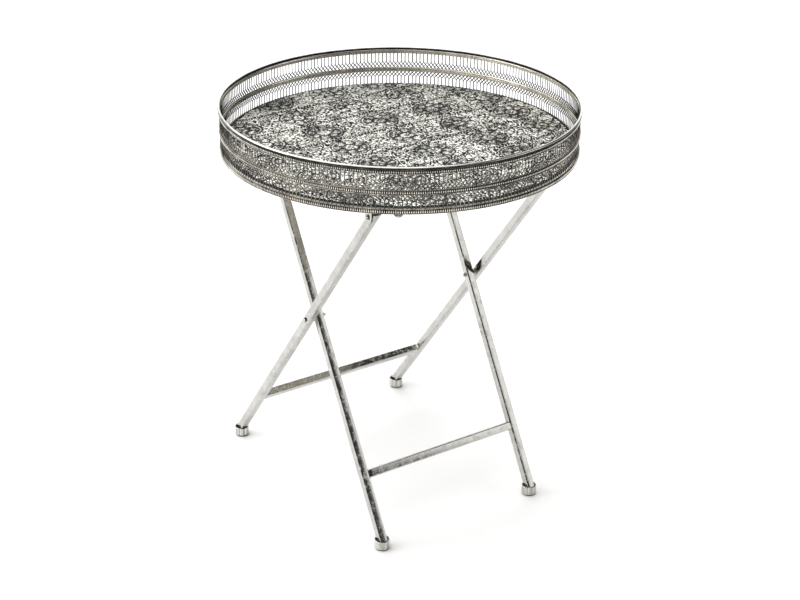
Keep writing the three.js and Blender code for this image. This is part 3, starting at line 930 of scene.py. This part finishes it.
def hexagon(radius, angle):
    """Six flats on the nut's wide part, and round where it is narrower."""
    flats_from = 3.1
    if radius < flats_from:
        return radius
    flat = radius * math.cos(math.pi / 6)
    turn = (angle + math.pi / 6) % (math.pi / 3) - math.pi / 6
    return np.minimum(flat / np.cos(turn), radius * 0.985)


def fasteners():
    """Crossing bolts and nuts, and the rail rivets, all facing away from the tube they go through."""
    for side, sign in zip(SIDES, (-1, 1)):
        button(f"domed_bolt_{side}", f"crossing_bolt_{side}", "outer_frame", sign, bolt_profile,
               PLAIN_HEAD)
        button(f"acorn_nut_{side}", f"crossing_nut_{side}", "outer_frame", -sign, nut_profile,
               NUT_FACES, hexagon)
        for which, way in (("outer", sign), ("inner", -sign)):
            button(f"{which}_rivet_{side}", f"{which}_rail_rivet_{side}", f"{which}_frame", way,
                   rivet_profile, RINGED_HEAD)


def finish_cad_node(node, material, bevel=0.35):
    """A CAD node that keeps its shape gets its material and a small rounded edge."""
    made = frame["nodes"][node]
    made.data.materials.clear()
    made.data.materials.append(material)
    joined = made.modifiers.new("weld", "WELD")
    joined.merge_threshold = 0.02 * MM
    edge = made.modifiers.new("edge", "BEVEL")
    edge.width = bevel * MM
    edge.segments = 2
    edge.limit_method = "ANGLE"
    edge.angle_limit = math.radians(40)
    edge.harden_normals = True


# =====================================================================================================
# Build
# =====================================================================================================
rim_bead()
ribbed_band("top_band")
ribbed_band("middle_band")
ribbed_band("bottom_band", scallop=BOTTOM_SCALLOP)
gallery("upper_gallery", bars_up=True)
gallery("lower_gallery", bars_up=False)
embossed_floor()
for foot_number in range(1, 5):
    tray_foot(foot_number)
for frame_name in FRAMES:
    legs(frame_name)
    stretcher(frame_name)
    rail(frame_name)
    for side_name in SIDES:
        foot_cup(frame_name, side_name)
        finish_cad_node(f"{frame_name}_glide_{side_name}", black_plastic)
        finish_cad_node(f"{frame_name}_plug_{side_name}", black_plastic)
        finish_cad_node(f"{frame_name}_rail_stop_{side_name}", plain_steel)
for side_name in SIDES:
    finish_cad_node(f"crossing_washer_{side_name}", plain_steel, bevel=0.2)
finish_cad_node("base_disc", plain_steel, bevel=0.2)
fasteners()


# =====================================================================================================
# Studio: pale floor, soft lights and the camera
# =====================================================================================================
def studio_floor():
    """A wide flat sheet that the table stands on."""
    signs = ((-1, -1), (1, -1), (1, 1), (-1, 1))
    corners = [(sx * FLOOR_HALF_SIZE, sy * FLOOR_HALF_SIZE, 0) for sx, sy in signs]
    mesh = bpy.data.meshes.new("studio_floor")
    mesh.from_pydata(corners, [], [(0, 1, 2, 3)])
    mesh.materials.append(floor_material())
    made = bpy.data.objects.new("studio_floor", mesh)
    bpy.context.scene.collection.objects.link(made)


def soft_light(name, place, target, size, power):
    """A rectangular panel of light, faced towards a target."""
    lamp = bpy.data.lights.new(name, "AREA")
    lamp.shape = "RECTANGLE"
    lamp.size, lamp.size_y = size
    lamp.energy = power
    made = bpy.data.objects.new(name, lamp)
    made.location = place
    made.rotation_euler = (Vector(target) - Vector(place)).to_track_quat("-Z", "Y").to_euler()
    bpy.context.scene.collection.objects.link(made)


def soft_sun(name, towards, spread, strength):
    """A distant light as wide as the spread in degrees, like the bright dome of a light tent."""
    lamp = bpy.data.lights.new(name, "SUN")
    lamp.energy = strength
    lamp.angle = math.radians(spread)
    made = bpy.data.objects.new(name, lamp)
    made.rotation_euler = Vector(towards).to_track_quat("Z", "Y").to_euler()
    bpy.context.scene.collection.objects.link(made)


def world_light(strength):
    """A faint, even, slightly warm light from everywhere."""
    world = bpy.data.worlds.new("studio")
    world.use_nodes = True
    background = world.node_tree.nodes["Background"]
    background.inputs["Color"].default_value = (1.0, 0.995, 0.985, 1)
    background.inputs["Strength"].default_value = strength
    bpy.context.scene.world = world


def camera():
    """The camera, tipped by a small roll."""
    lens = bpy.data.cameras.new("camera")
    lens.lens = CAMERA_LENS
    lens.sensor_width = SENSOR_WIDTH
    lens.clip_start, lens.clip_end = 0.05, 60
    made = bpy.data.objects.new("camera", lens)
    bpy.context.scene.collection.objects.link(made)
    place, target = Vector(CAMERA_PLACE) * MM, Vector(CAMERA_TARGET) * MM
    ahead = (target - place).normalized()
    right = ahead.cross(Vector((0, 0, 1))).normalized()
    up = right.cross(ahead)
    tilted = right * math.cos(CAMERA_ROLL) + up * math.sin(CAMERA_ROLL)
    upright = up * math.cos(CAMERA_ROLL) - right * math.sin(CAMERA_ROLL)
    made.matrix_world = Matrix((
        (tilted.x, upright.x, -ahead.x, place.x),
        (tilted.y, upright.y, -ahead.y, place.y),
        (tilted.z, upright.z, -ahead.z, place.z),
        (0, 0, 0, 1),
    ))
    bpy.context.scene.camera = made


studio_floor()
soft_sun("dome_of_light", DOME_TOWARDS, DOME_SPREAD, DOME_STRENGTH)
for panel_name, panel in PANELS.items():
    soft_light(panel_name, *panel)
world_light(WORLD_STRENGTH)
camera()
bpy.context.scene.view_settings.view_transform = "Standard"
